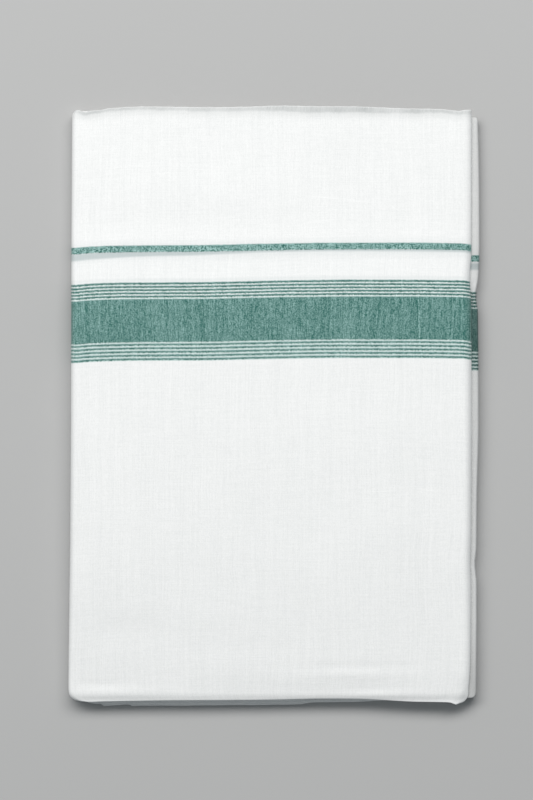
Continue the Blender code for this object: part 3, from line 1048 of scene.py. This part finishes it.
def cotton(name):
    """Thin bleached cotton with a woven border: slubbed yarns that run up the cloth, finer ones along it."""
    material = bpy.data.materials.new(name)
    nodes = Nodes(material)
    along_cloth, below, ghost_below = attribute(nodes, "cloth")
    from_selvedge, set_back, part = attribute(nodes, "edges")
    # The third value is 1 on the front, and below 0 the leaf's painted shade.
    front = nodes.math("MAXIMUM", part, 0.0)
    leaf_painted_shade = nodes.math("MAXIMUM", nodes.math("MULTIPLY", part, -1.0), 0.0)

    # The yarns don't run quite straight.
    sway = nodes.noise(along_cloth, below, 70 * MM, 45 * MM, 1.0, 2.0)
    across = nodes.math("MULTIPLY_ADD", sway, 0.9 * MM, along_cloth)
    column = nodes.yarn(across, YARN)
    row = nodes.yarn(below, YARN)
    slubs = nodes.yarns(column, below, 5 * MM, 0.0)
    streaks = nodes.yarns(column, below, 60 * MM, 33.1)
    warp = nodes.yarns(row, along_cloth, 18 * MM, 71.3)
    grain = nodes.crossings(column, row)
    drifts = nodes.noise(across, below, 7 * MM, 90 * MM, 2.0, 7.7)
    flecks = nodes.noise(across, below, 0.5 * MM, 1.3 * MM, 1.0, 57.1)
    blotches = nodes.noise(along_cloth, below, 45 * MM, 30 * MM, 2.0, 31.0)
    yarns = nodes.weighted(
        (slubs, 0.34), (streaks, 0.5), (drifts, 0.1), (warp, 0.34), (flecks, 0.16), (blotches, 0.14)
    )

    # One thick yarn runs up through the whole height.
    off_yarn = nodes.math("SUBTRACT", across, THICK_YARN_AT)
    off_yarn = nodes.math("MULTIPLY_ADD", below, -THICK_YARN_LEAN, off_yarn)
    thick = nodes.slope(nodes.math("ABSOLUTE", off_yarn), 0.62 * MM, 0.1 * MM)
    thick = nodes.math("MULTIPLY", thick, nodes.slope(flecks, -0.5, 0.7))

    # Where the border lies: its edges follow the yarns.
    waved = nodes.math("MULTIPLY_ADD", blotches, 0.12 * MM, below)
    waved = nodes.math("MULTIPLY_ADD", grain, 0.28 * MM, waved)
    thin_stripe, band = stripes(nodes, waved)
    close_lines = nodes.band(below, UPPER_LINES[0], UPPER_LINES[0] + LINES * UPPER_LINES[1], EDGE)
    border_end = LOWER_LINES[0] + LINES * LOWER_LINES[1]
    lined = nodes.band(below, UPPER_LINES[0], border_end, EDGE)
    deeper = nodes.band(along_cloth, *DEEPER_GREEN, 45 * MM)

    dotted = nodes.math("MULTIPLY", grain, nodes.math("MULTIPLY_ADD", thin_stripe, 3.0, 1.0))
    heather = nodes.weighted(
        (dotted, 0.34), (slubs, 0.18), (streaks, 0.17), (drifts, 0.04), (blotches, 0.04), (thick, 1.0)
    )
    lightness = nodes.weighted(
        (heather, 1.0), (thin_stripe, 0.2), (close_lines, -0.13), (deeper, -0.045), (1.0, 0.304)
    )
    green = nodes.mix(lightness, GREEN, GREEN_LIGHT)

    # Painted highlight: the crease lines are painted lighter on the front; they are also raised in the
    # relief.
    crease_relief_and_highlight = nodes.math("MULTIPLY", crease_lines(nodes), front)
    whiteness = nodes.weighted((yarns, 0.4), (grain, 0.26), (thick, 0.3), (1.0, 0.5))
    white = nodes.mix(whiteness, WHITE_SHADE, WHITE)
    white = nodes.mix(nodes.math("MULTIPLY", crease_relief_and_highlight, 0.35), white, CREASE_HIGHLIGHT)
    white = nodes.mix(seen_through(nodes, below, ghost_below), white, SEEN_THROUGH)
    white = nodes.mix(nodes.weighted((lined, 0.34), (close_lines, -0.14)), white, GREEN_THROUGH)

    colour = nodes.mix(nodes.math("MAXIMUM", thin_stripe, band), white, green)
    # Painted shade: past the second selvedge, the shaded gap below is painted into the thin single ply.
    thin = one_ply_left(nodes, along_cloth, below, slubs, from_selvedge, set_back, front)
    colour = nodes.mix(thin, colour, GAP_SHADE_THROUGH)
    # Painted shade: the leaf past the front's right side is darkened, its green band more.
    shade = nodes.math("MULTIPLY", leaf_painted_shade, nodes.weighted((band, -LEAF_BAND_SHADE), (1.0, -LEAF_SHADE)))
    shade = nodes.math("ADD", shade, 1.0)
    shade = nodes.add("ShaderNodeCombineXYZ", {0: shade, 1: shade, 2: shade}).outputs[0]
    nodes.put(nodes.shader.inputs["Base Color"], nodes.vector("MULTIPLY", colour, shade))

    nodes.put(nodes.shader.inputs["Roughness"], nodes.math("MULTIPLY_ADD", yarns, 0.05, 0.86))
    nodes.shader.inputs["Specular IOR Level"].default_value = 0.25
    nodes.shader.inputs["Sheen Weight"].default_value = 0.15
    nodes.shader.inputs["Sheen Roughness"].default_value = 0.45

    # The relief of the weave.
    ribs_up = nodes.math("SINE", nodes.math("MULTIPLY", across, 2 * math.pi / RIB_SPACING_ACROSS))
    ribs_along = nodes.math("SINE", nodes.math("MULTIPLY", below, 2 * math.pi / RIB_SPACING_UP))
    weave = nodes.math("MULTIPLY", ribs_up, ribs_along)
    height = nodes.weighted((yarns, 0.6), (weave, 0.2), (crease_relief_and_highlight, 1.2), (thick, 0.8))
    relief = {"Height": height, "Strength": RELIEF_STRENGTH, "Distance": RELIEF_DEPTH}
    nodes.put(nodes.shader.inputs["Normal"], nodes.add("ShaderNodeBump", relief).outputs[0])
    return material


def paper(name, colour):
    """The floor's matt paper."""
    material = bpy.data.materials.new(name)
    nodes = Nodes(material)
    nodes.shader.inputs["Base Color"].default_value = colour
    nodes.shader.inputs["Roughness"].default_value = 0.9
    nodes.shader.inputs["Specular IOR Level"].default_value = 0.2
    return material


# --------------------------------------------------------------------------------------------------
# The scene
# --------------------------------------------------------------------------------------------------

FLOOR_REACH = 6.0
FLOOR_BELOW = 0.05 * MM
FLOOR_COLOUR = (0.46, 0.46, 0.46, 1.0)
SKY_COLOUR = (0.88, 0.965, 1.0, 1.0)
SKY_STRENGTH = 0.27

# Which solid each piece stands for, and its material slot.
STANDS_FOR = {
    "outer_cloth": ("outer_ply", "outer_cotton"),
    "fold_b_cloth": ("fold_b_ply", "outer_cotton"),
    "fold_a_cloth": ("fold_a_ply", "outer_cotton"),
    "cut_end_cloth": ("cut_end_ply", "outer_cotton"),
    "inner_layers_cloth": ("hidden_layers", "inner_cotton"),
}


def add_light(name, size, energy, place, aim, colour):
    """A rectangular lamp at a place, turned towards its aim."""
    light = bpy.data.lights.new(name, "AREA")
    light.shape = "RECTANGLE"
    light.size, light.size_y = size
    light.energy = energy
    light.color = colour
    lamp = bpy.data.objects.new(name, light)
    lamp.location = place
    lamp.rotation_euler = (Vector(aim) - Vector(place)).to_track_quat("-Z", "Y").to_euler()
    bpy.context.scene.collection.objects.link(lamp)


def add_floor():
    """The plain floor, which isn't part of the object."""
    mesh = bpy.data.meshes.new("floor")
    corners = [(x * FLOOR_REACH, y * FLOOR_REACH, 0) for x, y in ((-1, -1), (1, -1), (1, 1), (-1, 1))]
    mesh.from_pydata(corners, [], [(0, 1, 2, 3)])
    floor = bpy.data.objects.new("floor", mesh)
    floor.location.z = -FLOOR_BELOW
    mesh.materials.append(paper("floor_paper", FLOOR_COLOUR))
    bpy.context.scene.collection.objects.link(floor)


def add_camera():
    """The camera, straight above the front."""
    camera = bpy.data.cameras.new("camera")
    camera.lens = LENS
    camera.sensor_width = SENSOR
    holder = bpy.data.objects.new("camera", camera)
    holder.location = (*PAGE_CENTRE, PACKET_FOUR_PLIES * MM + CAMERA_AWAY)
    bpy.context.scene.collection.objects.link(holder)
    bpy.context.scene.camera = holder


def set_light():
    """A long lamp beyond the packet's top edge, and an even pale sky."""
    world = bpy.data.worlds.new("studio")
    world.use_nodes = True
    background = world.node_tree.nodes["Background"]
    background.inputs["Color"].default_value = SKY_COLOUR
    background.inputs["Strength"].default_value = SKY_STRENGTH
    bpy.context.scene.world = world
    add_light(
        "key",
        size=(5.0, 1.2),
        energy=124.0,
        place=(-0.3, 1.75, 2.3),
        aim=(0.0, 0.1, 0.0),
        colour=(1.0, 0.985, 0.967),
    )
    bpy.context.scene.view_settings.view_transform = "Standard"


pieces, lengths = make_cloth()
materials = {slot: cotton(slot) for slot in ("outer_cotton", "inner_cotton")}
for name, piece in pieces.items():
    node, slot = STANDS_FOR[name]
    piece.data.materials.append(materials[slot])
    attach(piece, "root")
    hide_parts(node)

add_floor()
add_camera()
set_light()
